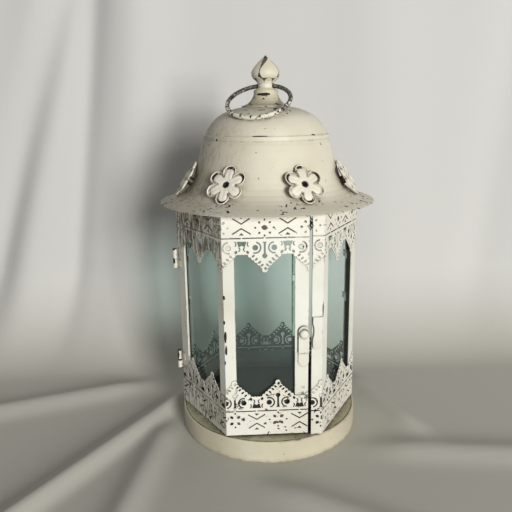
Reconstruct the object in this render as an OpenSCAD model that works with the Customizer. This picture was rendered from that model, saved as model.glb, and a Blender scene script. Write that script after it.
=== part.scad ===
// A six-sided candle lantern of painted sheet metal, with a bent two-sided glass door,
// a bell-shaped roof, a bud finial and a swinging ring handle.
// Millimetres, +Z up. The origin is on the centre line, at the underside of the base.
// The front of the door looks along -Y. Faces are numbered 0 to 5 from the front, towards +X.

/* [Base] */
// Outer radius of the round base band
base_r = 80.5; // [76:0.5:84]
// Height of the base band
base_h = 18.7; // [12:0.1:30]
// Thickness of the base band's sheet
band_t = 1.0; // [0.8:0.1:1.5]
// Width of the hem turned in under the base band
hem_w = 5; // [3:0.5:10]
// Width of the rounded lip round the floor plate
lip_w = 2; // [1.5:0.1:3]
// Width of the ledge that carries the floor plate
ledge_w = 4; // [2:0.5:8]

/* [Body] */
// Distance of the six-sided frame's corners inside the base's rim
frame_inset = 0.5; // [0.5:0.25:2]
// Height of the frame, from the base to the underside of the top plate
body_h = 190; // [170:1:240]
// Thickness of the frame's sheet
sheet_t = 0.8; // [0.6:0.1:1]
// Depth of the flange folded in beside each pane
flange_d = 3; // [2:0.25:4]
// Width of each leg of a fixed corner post
post_leg = 10; // [9:0.5:14]
// Width of the front leg of the post beside the latch
strip_w = 9; // [8.5:0.25:10]
// Height of the rails along the bottom and top of each face
rail_h = 18; // [10:0.5:22]
// Height above the rail's foot of the ledge under a fixed pane
ledge_z = 4; // [3:0.5:8]

/* [Top plate] */
// Radius of the vent hole in the top plate
vent_r = 50; // [35:1:60]
// How far the top plate reaches past the frame's corners
plate_over = 6; // [4:0.5:8]

/* [Glass] */
// Thickness of the panes
glass_t = 2; // [1.5:0.25:3]
// Distance from a face's corner to the edge of its pane
glass_inset = 6.5; // [6:0.25:8]
// Distance from the door's free edge to the edge of its pane
latch_pane_inset = 3.5; // [3.5:0.25:5]
// Height of one glass clip
clip_w = 6; // [4:0.5:10]
// Thickness of a glass clip
clip_t = 0.5; // [0.4:0.1:0.6]
// Depth of the lower clips below the frame's top
clip_low_drop = 90.7; // [75:0.1:120]
// Depth of the upper clips below the frame's top
clip_high_drop = 50.7; // [35:0.1:65]

/* [Lace] */
// Thickness of the pierced strips
lace_t = 0.6; // [0.4:0.1:0.8]
// Distance between two peaks of the lace
lace_pitch = 36; // [30:0.5:42]
// Height of the lace up to its valleys
lace_band_h = 35.2; // [30:0.1:40]
// Height of a peak above the valleys
lace_peak_h = 14.5; // [8:0.5:18]
// Half width of the foot of a peak
lace_foot = 13.2; // [10:0.1:15]
// Width trimmed off the plain edge of the upper strips
upper_trim = 4; // [0:0.5:6]
// Radius of the small lobes along the edge
lobe_r = 2.3; // [1.8:0.1:2.6]
// Radius of the eye in each scroll
eye_r = 2.2; // [1.6:0.1:3]
// Height of the scroll eyes above the strip's plain edge
eye_h = 28.5; // [26:0.5:31]
// Distance of a scroll eye from its peak's middle
eye_x = 7.2; // [6:0.1:8]

/* [Door] */
// Width of the stile beside the hinges
hinge_stile_w = 11.5; // [10:0.5:15]
// Width of the left leg of the door's bent corner
door_leg_left = 9; // [8.5:0.5:12]
// Width of the front leg of the door's bent corner
door_leg_front = 9; // [8.5:0.5:12]
// Width of the stile beside the latch
latch_stile_w = 11; // [10.5:0.5:13]
// Gap between the door and the fixed strip
door_gap = 2.7; // [1.5:0.1:4]
// Gap between the door and the corner at the hinges
hinge_gap = 0.8; // [0.5:0.1:1.5]
// Gap under the door
foot_gap = 1.6; // [0.8:0.1:3]
// Gap over the door
head_gap = 0.8; // [0.5:0.1:2]

/* [Hinges] */
// Distance of the hinge pin outside the frame's corner
pin_reach = 2.6; // [2.5:0.1:3.5]
// Radius of the hinge pin
pin_r = 1; // [0.8:0.1:1.2]
// Outer radius of the hinge knuckles
knuckle_r = 2; // [1.8:0.05:2.1]
// Length of one knuckle
knuckle_h = 8.5; // [6:0.5:10]
// Width of a hinge leaf on its face
leaf_w = 6; // [4:0.5:8]
// Depth of the upper hinge's middle below the frame's top
hinge_high_drop = 50.7; // [50.2:0.1:65]
// Height of the lower hinge's middle above the base
hinge_low_rise = 42.2; // [41.4:0.1:60]
// Running clearance of the pin in the door's knuckles
pin_clear = 0.06; // [0.02:0.01:0.1]

/* [Latch] */
// Height of the latch's turning pin above the base
latch_up = 91.8; // [81.5:0.1:110]
// Distance of the latch's turning pin from the door's free edge
latch_in = 4; // [3:0.1:5]
// Width of the latch plate
latch_plate_w = 8.6; // [8:0.1:10]
// Length of the latch plate
latch_plate_h = 35; // [32:0.5:42]
// Height of the raised part of the latch plate, and of the keeper
latch_rise = 1.8; // [1.6:0.1:2.4]
// Radius of the latch knob
knob_r = 3.5; // [3:0.1:4.5]
// Thickness of the latch knob
knob_h = 2.6; // [2:0.1:4]
// Radius of the latch's turning pin
latch_pin_r = 1.5; // [1.2:0.1:1.8]
// Running clearance of the latch's turning pin
latch_clear = 0.08; // [0.03:0.01:0.1]
// Length of the tongue from its pin to its tip
tongue_l = 10.5; // [10:0.1:11]
// Width of the tongue
tongue_w = 4; // [3.5:0.1:5]
// Thickness of the tongue
tongue_t = 1; // [0.8:0.1:1]
// Width of the keeper
keeper_w = 7.5; // [7:0.1:7.8]
// Height of the keeper
keeper_h = 28; // [26:0.5:32]

/* [Roof] */
// How far the roof's brim reaches past the frame's corners
brim_over = 12.5; // [11:0.5:18]
// Height of the flared skirt
skirt_h = 51.7; // [45:0.1:60]
// Radius of the skirt's top
skirt_top_r = 53.2; // [50:0.1:56]
// Thickness of the roof's sheet
roof_t = 0.8; // [0.6:0.1:1.2]
// Height of the band round the dome's foot
bead_h = 4.2; // [3:0.1:6]
// How far the band stands out from the dome
bead_out = 0.3; // [0.2:0.1:1.5]
// Height of the dome
dome_h = 26.4; // [20:0.1:34]
// Radius of the dome's flat top
dome_flat_r = 21; // [20.6:0.1:24]

/* [Flowers] */
// Turn of the flowers round the roof, from the front
flower_turn = 20.9; // [0:0.1:51]
// Height of the flowers' middles above the brim
flower_rise = 19.3; // [19:0.1:21]
// Distance of a petal's middle from the flower's middle
petal_x = 11.3; // [10.5:0.1:11.6]
// Radius of a petal
petal_r = 5.6; // [5.3:0.1:6]
// Thickness of a flower's sheet
petal_t = 0.8; // [0.6:0.1:1]
// Height of a petal's raised rim
petal_rim_h = 1; // [0.8:0.1:1.6]
// Width of a petal's raised rim
petal_rim_w = 1; // [0.8:0.1:1.2]
// Gap between the petals' ends and the roof's sheet
flower_gap = 0.3; // [0.3:0.1:1]
// Radius of the flower's middle, inside its petals
flower_heart_r = 8.6; // [7:0.1:9]
// Bore of the rivets
rivet_bore_r = 1.8; // [1.4:0.1:2]
// Radius of the rivets' shanks
rivet_r = 2.5; // [2.4:0.1:2.8]
// Radius of the rivets' collars
rivet_collar_r = 3.6; // [3.2:0.1:4]

/* [Crown and finial] */
// Radius of the crown's foot
crown_r = 20.5; // [18:0.5:20.5]
// Height of the step at the crown's foot
crown_step_h = 1.2; // [0.8:0.1:2]
// Radius of the crown's collar
collar_r = 10.3; // [9:0.1:12]
// Height of the crown
crown_h = 14; // [12:0.5:20]
// Thickness of the crown's wall
crown_t = 1.2; // [1:0.1:1.6]
// Radius of the finial's foot
foot_r = 9; // [8:0.1:9]
// Radius of the finial's waist
waist_r = 6.6; // [5.5:0.1:6.7]
// Greatest radius of the bud
bud_r = 11.4; // [10:0.1:13]
// Height of the finial above the crown
finial_h = 27.6; // [24:0.2:36]
// Radius of the threaded stem under the finial
stem_r = 2.5; // [2:0.25:3]
// Length of the stem below the crown's top
stem_l = 23; // [20:1:30]
// Radial clearance of the stem in its holes
stem_clear = 0.2; // [0.1:0.05:0.5]
// Radius of the washer under the dome
washer_r = 8; // [7:0.5:11]
// Thickness of the washer
washer_t = 1.2; // [0.8:0.1:2]
// Width of the nut across its flats
nut_w = 8; // [7.5:0.5:9]
// Thickness of the nut
nut_h = 4; // [3:0.5:5]

/* [Ring handle] */
// Radius of the ring's wire
wire_r = 1.75; // [1.5:0.05:1.8]
// Radius of the ring to the middle of its wire
ring_r = 26; // [25:0.25:29]
// Gap between the ring at rest and the dome, measured across the ring
ring_rest_gap = 0.4; // [0.4:0.1:1]
// Direction that the ring leans to, from the front
ring_turn = -19; // [-60:1:60]
// Height of the ring's pivot above the crown
pivot_h = 3.4; // [3.2:0.1:4]
// Radius of the cross hole in the finial's waist
eyelet_r = 2.5; // [2.45:0.05:2.6]

/* [Hidden] */

$fn = 64;
// A length that reaches past the whole lantern, for cutting
beyond = 400;
// A cut's overrun past a surface, so that no skin is left
overrun = 1;

// The six-sided frame, whose sides are as long as its corners' radius
frame_r = base_r - frame_inset;
side = frame_r;
apothem = frame_r * cos(30);
frame_top = base_h + body_h;
// Shortening of a mitred sheet's inner side, for each unit of its thickness
mitre = tan(30);
door_foot = base_h + foot_gap;
door_top = frame_top - head_gap;
door_edge = side - strip_w - door_gap;
pane_foot = base_h + ledge_z + sheet_t;
pane_head = frame_top - ledge_z;
door_pane_foot = door_foot + ledge_z + sheet_t;
door_pane_head = door_top - ledge_z;
clip_low_z = frame_top - clip_low_drop;
clip_high_z = frame_top - clip_high_drop;
latch_x = door_edge - latch_in;
latch_z = base_h + latch_up;
keeper_x = side - keeper_w - sheet_t;
keeper_drop = 0.3;
keeper_foot = latch_z - keeper_h / 2 - keeper_drop;
// End of a face's openwork, a little past the outer corner of the lace wall
lace_corner = side + 2 * lace_t * mitre;
lace_edge_gap = 0.5;
leaf_gap = 0.3;
// A hinge leaf is a little shorter than its knuckle at both ends
leaf_trim = 1;
leaf_h = knuckle_h - 2 * leaf_trim;

// Positions of a lace peak on each face, from its left corner, for the lower and upper strips
lower_phase = [7.2, 11.5, 15.5, 19.5, 23.5, 21.5];
upper_phase = [33.3, 30.5, 34.5, 2.5, 24.5, 5.1];

// Hinge pin, seen from the corner at the hinges
hinge_out = pin_reach * cos(30);
hinge_past = pin_reach * sin(30);
hinge_x = -(frame_r + pin_reach);
hinge_high_z = frame_top - hinge_high_drop;
hinge_low_z = base_h + hinge_low_rise;
knuckle_gap = 0.2;
// The upper hinge has its frame knuckle on top, and the lower hinge has its door knuckle on top
frame_leaf_high = hinge_high_z + knuckle_gap / 2;
frame_leaf_low = hinge_low_z - knuckle_gap / 2 - knuckle_h;
door_leaf_high = hinge_high_z - knuckle_gap / 2 - knuckle_h;
door_leaf_low = hinge_low_z + knuckle_gap / 2;

// Roof levels and radii
plate_rim_r = frame_r + plate_over;
brim_r = frame_r + brim_over;
plate_top = frame_top + sheet_t;
brim_z = plate_top + roof_t;
joint_z = brim_z + skirt_h;
dome_top = joint_z + dome_h;
crown_top = dome_top + crown_h;
pivot_z = crown_top + pivot_h;
total_h = crown_top + finial_h;

// A smooth curve between two points, steered by two more
function curve(a, b, c, d, steps) = [
    for (i = [0:steps])
        let (t = i / steps, u = 1 - t)
        u * u * u * a + 3 * u * u * t * b + 3 * u * t * t * c + t * t * t * d
];

// Outer outline of the skirt: a flare from the brim in to the fold, then a neck up to the dome.
// Each bend says how far the point that steers a curve lies from the curve's end.
fold_out = 11.8;
fold_up = 16.5;
brim_bend = [7.1, 3.5];
fold_foot_bend = [6.6, 11.7];
fold_head_bend = [4.2, 7.5];
neck_bend = [3.8, 4.7];
fold_r = skirt_top_r + fold_out;
fold_z = brim_z + fold_up;
skirt_flare = curve(
    [brim_r, brim_z], [brim_r - brim_bend[0], brim_z + brim_bend[1]],
    [fold_r + fold_foot_bend[0], fold_z - fold_foot_bend[1]], [fold_r, fold_z], 7);
skirt_neck = curve(
    [fold_r, fold_z], [fold_r - fold_head_bend[0], fold_z + fold_head_bend[1]],
    [skirt_top_r + neck_bend[0], joint_z - neck_bend[1]], [skirt_top_r, joint_z], 7);
skirt_outline = concat(skirt_flare, [for (i = [1:len(skirt_neck) - 1]) skirt_neck[i]]);
// Outer outline of the dome, from its foot up to its flat top
dome_foot_bend = [2, 7.5];
dome_head_bend = [25.5, 4];
dome_outline = curve(
    [skirt_top_r, joint_z], [skirt_top_r - dome_foot_bend[0], joint_z + dome_foot_bend[1]],
    [dome_flat_r + dome_head_bend[0], dome_top - dome_head_bend[1]], [dome_flat_r, dome_top], 12);
// Outer outline of the crown, from the top of its step up to its collar
crown_step_w = 1;
collar_h = 4;
crown_foot_bend = [2.1, 2.1];
crown_head_bend = [1.4, 2.4];
crown_shoulder = dome_top + crown_step_h;
crown_outline = curve(
    [crown_r - crown_step_w, crown_shoulder],
    [collar_r + crown_foot_bend[0], crown_shoulder + crown_foot_bend[1]],
    [collar_r + crown_head_bend[0], crown_top - collar_h - crown_head_bend[1]],
    [collar_r, crown_top - collar_h], 8);
// Outer outline of the bud, from the waist to its fullest ring, and on to its tip
waist_head = 2.2;
bud_drop = 15.2;
bud_tip_r = 0.4;
bud_foot_bend = [0.3, 2.4];
bud_side_bend = [0.3, 4];
bud_shoulder_bend = [1.4, 4.6];
bud_tip_bend = [2.6, 3.4];
waist_top = pivot_z + waist_head;
bud_middle = total_h - bud_drop;
bud_foot = curve(
    [waist_r, waist_top], [waist_r + bud_foot_bend[0], waist_top + bud_foot_bend[1]],
    [bud_r - bud_side_bend[0], bud_middle - bud_side_bend[1]], [bud_r, bud_middle], 8);
bud_head = curve(
    [bud_r, bud_middle], [bud_r + bud_shoulder_bend[0], bud_middle + bud_shoulder_bend[1]],
    [bud_tip_bend[0], total_h - bud_tip_bend[1]], [bud_tip_r, total_h], 10);

function shifted(points, dx, dz) = [for (p = points) [p[0] + dx, p[1] + dz]];
function reversed(points) = [for (i = [len(points) - 1:-1:0]) points[i]];
skirt_inside = shifted(skirt_outline, -roof_t, -roof_t);
dome_inside = shifted(dome_outline, -roof_t, -roof_t);

// Radius of the skirt's outside at a height
skirt_table = [for (p = skirt_outline) [p[1], p[0]]];
function skirt_radius(z) = lookup(z, skirt_table);

// A flower bridges the hollow of the skirt: its plane runs between two heights on the skirt
flower_count = 7;
flower_z = brim_z + flower_rise;
flower_bend = 0.82;
flower_reach = flower_bend * (petal_x + petal_r);
flower_low_r = skirt_radius(flower_z - flower_reach);
flower_high_r = skirt_radius(flower_z + flower_reach);
flower_lean = atan2(flower_low_r - flower_high_r, 2 * flower_reach);
flower_seat_r = (flower_low_r + flower_high_r) / 2;
rivet_shank_l = 7;

// Latch parts, measured outwards from the door's sheet
tongue_out = (latch_rise - tongue_t) / 2;
latch_face = latch_rise + sheet_t;
knob_gap = 0.2;

// Ring handle: how far its wire is set back through the pivot, so that it clears the hole
ring_set = waist_r * waist_r / (4 * ring_r);
// The ring leans on the dome, at the dome's point that is as far from the pivot as its far side
ring_reach = 2 * ring_r - ring_set;
lean_table = [for (p = dome_outline) [norm([p[0], pivot_z - p[1]]), atan2(pivot_z - p[1], p[0])]];
ring_drop = lookup(ring_reach, lean_table) - asin((wire_r + ring_rest_gap) / ring_reach);

paint = "#E9E3CE";
shade = "#CFC8B2";
lace_paint = "#F1ECDC";
steel = "#4B4641";
pane_tint = "#8FA39A";

// Places flat shapes on a face: x along the face from its left corner, y up, z outwards
module on_face(face) {
    rotate([0, 0, 60 * face])
        translate([-side / 2, -apothem, 0])
            rotate([90, 0, 0])
                children();
}

// A sheet cut to the shape of its children, its back at the given depth outside the face
module sheet_on(face, out, thickness) {
    on_face(face)
        translate([0, 0, out])
            linear_extrude(thickness)
                children();
}

// Places a cross-section on a face: x along the face, y inwards
module plan_on(face) {
    rotate(60 * face)
        translate([-side / 2, -apothem])
            children();
}

// The six-sided wall of the lace, which bends the strips sharply at the corners
module lace_wall(foot, top) {
    translate([0, 0, foot])
        difference() {
            cylinder(r = frame_r + lace_t / cos(30), h = top - foot, $fn = 6);
            translate([0, 0, -overrun])
                cylinder(r = frame_r, h = top - foot + 2 * overrun, $fn = 6);
        }
}

// A point of the plan: along a face from its left corner, and inwards from its outer sheet
function face_point(face, along, inwards) =
    let (x = along - side / 2, y = inwards - apothem)
        [x * cos(60 * face) - y * sin(60 * face), x * sin(60 * face) + y * cos(60 * face)];

// A post bent round the corner between a face and the next one, with a flange beside each pane
module post(face, leg_before, leg_after, foot, top) {
    next = face + 1;
    start = side - leg_before;
    color(paint)
        translate([0, 0, foot])
            linear_extrude(top - foot)
                polygon([
                    face_point(face, start, 0),
                    face_point(face, side, 0),
                    face_point(next, leg_after, 0),
                    face_point(next, leg_after, flange_d),
                    face_point(next, leg_after - sheet_t, flange_d),
                    face_point(next, leg_after - sheet_t, sheet_t),
                    face_point(next, sheet_t * mitre, sheet_t),
                    face_point(face, start + sheet_t, sheet_t),
                    face_point(face, start + sheet_t, flange_d),
                    face_point(face, start, flange_d)]);
}

// A stile with a flange along both of its edges
module stile(face, from, to, foot, top) {
    color(paint)
        translate([0, 0, foot])
            linear_extrude(top - foot)
                plan_on(face) {
                    translate([from, 0])
                        square([to - from, sheet_t]);
                    translate([from, 0])
                        square([sheet_t, flange_d]);
                    translate([to - sheet_t, 0])
                        square([sheet_t, flange_d]);
                }
}

// A rail between two posts, with a ledge that holds the edge of the pane
module rail(face, from, to, foot, top, ledge) {
    color(shade) {
        sheet_on(face, -sheet_t, sheet_t)
            translate([from, foot])
                square([to - from, top - foot]);
        sheet_on(face, -flange_d - glass_t, flange_d + glass_t - sheet_t)
            translate([from + overrun, ledge])
                square([to - from - 2 * overrun, sheet_t]);
    }
}

// A pane that rests against the flanges of its posts
module pane(face, from, to, foot, head) {
    color(pane_tint)
        sheet_on(face, -flange_d - glass_t, glass_t)
            translate([from, foot])
                square([to - from, head - foot]);
}

// A bent tab from a post's back, round the edge of the pane and over its inner side
module clip(face, at, inwards, height) {
    foot_w = 1.6;
    edge_gap = 0.3;
    hook_w = 3.5;
    translate([0, 0, height - clip_w / 2])
        linear_extrude(clip_w)
            plan_on(face)
                translate([at, 0])
                    mirror([inwards < 0 ? 1 : 0, 0]) {
                        translate([-edge_gap - foot_w, sheet_t])
                            square([foot_w, clip_t]);
                        translate([-edge_gap - clip_t, sheet_t])
                            square([clip_t, flange_d + glass_t + clip_t - sheet_t]);
                        translate([-edge_gap - clip_t, flange_d + glass_t])
                            square([hook_w + clip_t, clip_t]);
                    }
}

module clips(face, from, to) {
    color(shade)
        for (height = [clip_low_z, clip_high_z]) {
            clip(face, from, 1, height);
            clip(face, to, -1, height);
        }
}

// One peak of the lace, its foot at height 0: a triangle edged with small lobes
module lace_peak() {
    lobes = 3;
    lobe_in = 1.6;
    lobe_step = 3.4;
    tip = lace_peak_h - lobe_r;
    polygon([[-lace_foot, -overrun], [lace_foot, -overrun], [0, tip]]);
    translate([0, tip])
        circle(lobe_r);
    for (hand = [-1, 1], i = [0:lobes])
        translate([hand * (lace_foot - lobe_in - i * lobe_step), i * tip / (lobes + 1)])
            circle(lobe_r);
}

// A drop-shaped hole, its round end at height 0
module drop_hole() {
    drop_r = 1.5;
    drop_h = 5;
    shoulder = 0.8;
    circle(drop_r);
    polygon([[-drop_r + 0.2, shoulder], [drop_r - 0.2, shoulder], [0, drop_h]]);
}

// The holes that belong to one peak
module lace_holes() {
    drop_in = 3;
    slot_w = 1.1;
    slot_h = 3.2;
    slot_reach = 7.5;
    tip_hole_up = 8;
    valley_in = 10;
    valley_w = 8;
    valley_foot = 1.4;
    valley_head = 5;
    for (hand = [-1, 1])
        translate([hand * eye_x, eye_h])
            circle(eye_r);
    translate([0, lace_band_h - drop_in])
        drop_hole();
    // Slots that fan out into the peak
    for (turn = [-58, -30, 30, 58])
        translate([0, lace_band_h - overrun])
            rotate(turn)
                translate([0, slot_reach])
                    square([slot_w, slot_h], center = true);
    translate([0, lace_band_h + tip_hole_up])
        circle(1);
    // Triangle in the valley beside the peak
    translate([lace_pitch / 2, lace_band_h - valley_in])
        polygon([[-valley_w / 2, -valley_foot], [valley_w / 2, -valley_foot], [0, valley_head]]);
}

// A lace strip on one face, with its plain edge a little below height 0
module lace_outline(from, to, phase) {
    first = floor((from - phase) / lace_pitch) - 1;
    last = ceil((to - phase) / lace_pitch) + 1;
    difference() {
        intersection() {
            translate([from, -overrun])
                square([to - from, overrun + lace_band_h + lace_peak_h]);
            union() {
                translate([from - overrun, -2 * overrun])
                    square([to - from + 2 * overrun, lace_band_h + 2 * overrun]);
                for (i = [first:last])
                    translate([phase + i * lace_pitch, lace_band_h])
                        lace_peak();
            }
        }
        for (i = [first:last])
            translate([phase + i * lace_pitch, 0])
                lace_holes();
    }
}

// Cuts openwork to the lace wall, which gives it straight edges and mitred corners
module mitred(foot, top) {
    intersection() {
        lace_wall(foot, top);
        children();
    }
}

// Openwork on one face, thicker than the lace wall on both sides
module lower_lace(face, from, to, foot) {
    sheet_on(face, -overrun, lace_t + 2 * overrun)
        translate([0, foot])
            lace_outline(from, to, lower_phase[face]);
}

module upper_lace(face, from, to, top) {
    sheet_on(face, -overrun, lace_t + 2 * overrun)
        translate([0, top + upper_trim])
            mirror([0, 1])
                lace_outline(from, to, upper_phase[face]);
}

module base_band() {
    inner = base_r - band_t;
    ledge_top = base_h - sheet_t;
    color(paint)
        rotate_extrude() {
            translate([inner, band_t])
                square([band_t, base_h - lip_w / 2 - band_t]);
            translate([base_r - hem_w, 0])
                square([hem_w, band_t]);
            // Rounded lip
            translate([base_r - lip_w / 2, base_h - lip_w / 2])
                circle(lip_w / 2);
            translate([base_r - lip_w, ledge_top - band_t])
                square([lip_w / 2, base_h - lip_w / 2 - ledge_top + band_t]);
            translate([inner - ledge_w, ledge_top - band_t])
                square([ledge_w + overrun / 2, band_t]);
        }
}

module floor_plate() {
    plate_clear = 0.3;
    color(paint)
        translate([0, 0, base_h - sheet_t])
            cylinder(r = base_r - lip_w - plate_clear, h = sheet_t);
}

module frame_glass_clips() {
    for (face = [1:4])
        clips(face, glass_inset, side - glass_inset);
}

// The strip bends round four faces and ends on the fixed strip beside the door
module frame_lace_lower() {
    color(lace_paint)
        difference() {
            union() {
                mitred(base_h, frame_top) {
                    lower_lace(0, side - strip_w, lace_corner, base_h);
                    for (face = [1:3])
                        lower_lace(face, side - lace_corner, lace_corner, base_h);
                }
                mitred(base_h, frame_top)
                    lower_lace(4, side - lace_corner, side - lace_edge_gap, base_h);
            }
            // Notch round the lower hinge's leaf
            sheet_on(4, -overrun, lace_t + 2 * overrun)
                translate([side - leaf_w - leaf_gap, frame_leaf_low + leaf_trim - leaf_gap])
                    square([leaf_w + overrun, beyond]);
        }
}

module frame_lace_upper() {
    color(lace_paint)
        mitred(base_h, frame_top) {
            upper_lace(0, side - strip_w, lace_corner, frame_top);
            for (face = [1:3])
                upper_lace(face, side - lace_corner, lace_corner, frame_top);
            upper_lace(4, side - lace_corner, side - lace_edge_gap, frame_top);
        }
}

// A raised pocket on the fixed strip, open towards the door, with a hollow in its open edge
module keeper() {
    hollow_r = 20;
    hollow_w = 1.1;
    hollow_up = 16;
    color(paint)
        translate([keeper_x, 0, 0]) {
            sheet_on(0, latch_rise, sheet_t)
                translate([0, keeper_foot])
                    difference() {
                        union() {
                            translate([0, keeper_w / 2])
                                square([keeper_w, keeper_h - keeper_w / 2]);
                            translate([keeper_w / 2, keeper_w / 2])
                                circle(keeper_w / 2);
                        }
                        translate([hollow_w - hollow_r, hollow_up])
                            circle(hollow_r);
                    }
            sheet_on(0, 0, latch_rise)
                translate([keeper_w - sheet_t, keeper_foot + keeper_w / 2])
                    square([sheet_t, keeper_h - keeper_w / 2]);
        }
}

// A hinge leaf on the frame's side of the corner, rolled round the pin
module frame_leaf(foot) {
    color(paint)
        difference() {
            union() {
                sheet_on(4, 0, sheet_t)
                    translate([side - leaf_w, foot + leaf_trim])
                        square([leaf_w + hinge_past, leaf_h]);
                translate([hinge_x, 0, foot])
                    cylinder(r = knuckle_r, h = knuckle_h);
            }
            translate([hinge_x, 0, foot - overrun])
                cylinder(r = pin_r, h = knuckle_h + 2 * overrun);
        }
}

// A hinge leaf on the door's side of the corner, which turns on the pin
module door_leaf(foot) {
    color(paint)
        difference() {
            union() {
                sheet_on(5, 0, sheet_t)
                    translate([-hinge_past, foot + leaf_trim])
                        square([leaf_w + hinge_past, leaf_h]);
                translate([hinge_x, 0, foot])
                    cylinder(r = knuckle_r, h = knuckle_h);
            }
            translate([hinge_x, 0, foot - overrun])
                cylinder(r = pin_r + pin_clear, h = knuckle_h + 2 * overrun);
        }
}

module hinge_leaf_frame_upper() { frame_leaf(frame_leaf_high); }
module hinge_leaf_frame_lower() { frame_leaf(frame_leaf_low); }
module hinge_leaf_door_upper() { door_leaf(door_leaf_high); }
module hinge_leaf_door_lower() { door_leaf(door_leaf_low); }

// A pin with a flat head, through both knuckles of a hinge
module hinge_pin(middle, head_gap_here) {
    head_over = 0.5;
    head_h = 0.6;
    reach = knuckle_h + knuckle_gap / 2;
    translate([hinge_x, 0, middle - reach - head_h])
        cylinder(r = pin_r, h = 2 * reach + head_gap_here + head_h);
    translate([hinge_x, 0, middle + reach + head_gap_here])
        cylinder(r = pin_r + head_over, h = head_h);
}

module hinge_pins() {
    color(steel) {
        hinge_pin(hinge_high_z, 0);
        hinge_pin(hinge_low_z, knuckle_gap);
    }
}

// A flat plate on top of the frame, whose rim is turned up against the underside of the roof
module top_plate() {
    color(shade)
        rotate_extrude()
            difference() {
                union() {
                    translate([vent_r, frame_top])
                        square([plate_rim_r - vent_r, sheet_t]);
                    translate([plate_rim_r - sheet_t, frame_top])
                        square([sheet_t, skirt_h]);
                }
                polygon(concat(
                    skirt_inside,
                    [[skirt_top_r - roof_t, joint_z + overrun], [beyond, joint_z + overrun],
                     [beyond, brim_z - roof_t]]));
            }
}

// The places of the flowers: z points outwards, from the back of the petals
module on_flower(index) {
    rotate([0, 0, flower_turn + 360 / flower_count * (index - 1)])
        translate([0, -flower_seat_r, flower_z])
            rotate([90 - flower_lean, 0, 0])
                translate([0, 0, flower_gap])
                    children();
}

// The flared skirt, with the flange that carries the dome
module roof_skirt() {
    flange_w = 4;
    color(paint)
        difference() {
            rotate_extrude() {
                polygon(concat(skirt_outline, reversed(skirt_inside)));
                // Rolled edge of the brim
                translate([brim_r - roof_t / 2, brim_z - roof_t / 2])
                    circle(roof_t / 2);
                translate([skirt_top_r - flange_w, joint_z - roof_t])
                    square([flange_w, roof_t]);
            }
            for (index = [1:flower_count])
                on_flower(index)
                    cylinder(r = rivet_r, h = 2 * rivet_shank_l, center = true);
        }
}

// The band round the dome's foot, a flat strip with rounded edges
module bead_section() {
    edge_r = 1;
    deep = 4;
    translate([skirt_top_r - deep, joint_z]) {
        square([deep + bead_out - edge_r, bead_h]);
        translate([0, edge_r])
            square([deep + bead_out, bead_h - 2 * edge_r]);
        for (height = [edge_r, bead_h - edge_r])
            translate([deep + bead_out - edge_r, height])
                circle(edge_r);
    }
}

// The dome, with the band round its foot
module roof_dome() {
    color(paint)
        difference() {
            rotate_extrude()
                difference() {
                    union() {
                        polygon(concat(dome_outline, [[0, dome_top], [0, joint_z]]));
                        bead_section();
                    }
                    polygon(concat(
                        [[0, joint_z - overrun], [skirt_top_r - roof_t, joint_z - overrun]],
                        [for (p = dome_inside) if (p[1] > joint_z - roof_t) p]));
                    translate([0, joint_z - overrun])
                        square([dome_flat_r - roof_t, dome_h - roof_t + overrun]);
                }
            translate([0, 0, dome_top - dome_h / 2])
                cylinder(r = stem_r + stem_clear, h = dome_h);
        }
}

// A hollow spun cup with a step at its foot and a collar on top
module crown() {
    collar_chamfer = 0.6;
    foot_rim_w = 3;
    foot_rim_h = 0.6;
    inside_r = crown_r - foot_rim_w;
    color(paint)
        difference() {
            rotate_extrude()
                polygon(concat(
                    [[0, dome_top], [crown_r, dome_top], [crown_r, dome_top + crown_step_h]],
                    crown_outline,
                    [[collar_r, crown_top - collar_chamfer], [collar_r - collar_chamfer, crown_top],
                     [0, crown_top]]));
            rotate_extrude()
                polygon(concat(
                    [[0, dome_top - overrun], [inside_r, dome_top - overrun],
                     [inside_r, dome_top + foot_rim_h]],
                    [for (p = crown_outline) if (p[0] < inside_r) [p[0] - crown_t, p[1] - crown_t]],
                    [[collar_r - crown_t, crown_top - crown_t], [0, crown_top - crown_t]]));
            cylinder(r = stem_r + stem_clear, h = beyond);
        }
}

// The cast bud on its waist, with the cross hole for the ring and the stem that holds it down
module finial() {
    foot_edge_h = 0.3;
    waist_foot = 1.7;
    color(paint)
        difference() {
            union() {
                rotate_extrude()
                    polygon(concat(
                        [[0, crown_top], [foot_r, crown_top], [foot_r, crown_top + foot_edge_h],
                         [waist_r, crown_top + waist_foot]],
                        bud_foot, bud_head, [[0, total_h]]));
                translate([0, 0, crown_top - stem_l])
                    cylinder(r = stem_r, h = stem_l + overrun);
            }
            translate([0, 0, pivot_z])
                rotate([0, 90, ring_turn])
                    cylinder(r = eyelet_r, h = 2 * foot_r, center = true);
        }
}

module stem_washer() {
    color(steel)
        translate([0, 0, dome_top - roof_t - washer_t])
            difference() {
                cylinder(r = washer_r, h = washer_t);
                translate([0, 0, -overrun])
                    cylinder(r = stem_r + stem_clear, h = washer_t + 2 * overrun);
            }
}

module stem_nut() {
    color(steel)
        translate([0, 0, dome_top - roof_t - washer_t - nut_h])
            difference() {
                cylinder(d = nut_w / cos(30), h = nut_h, $fn = 6);
                translate([0, 0, -overrun])
                    cylinder(r = stem_r, h = nut_h + 2 * overrun);
            }
}

// A pressed flower of six petals, each with a raised rim, round the hole for its rivet
module flower_sheet(inset) {
    circle(flower_heart_r - inset);
    for (i = [0:5])
        rotate(60 * i + 90)
            translate([petal_x, 0])
                circle(petal_r - inset);
}

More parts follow.
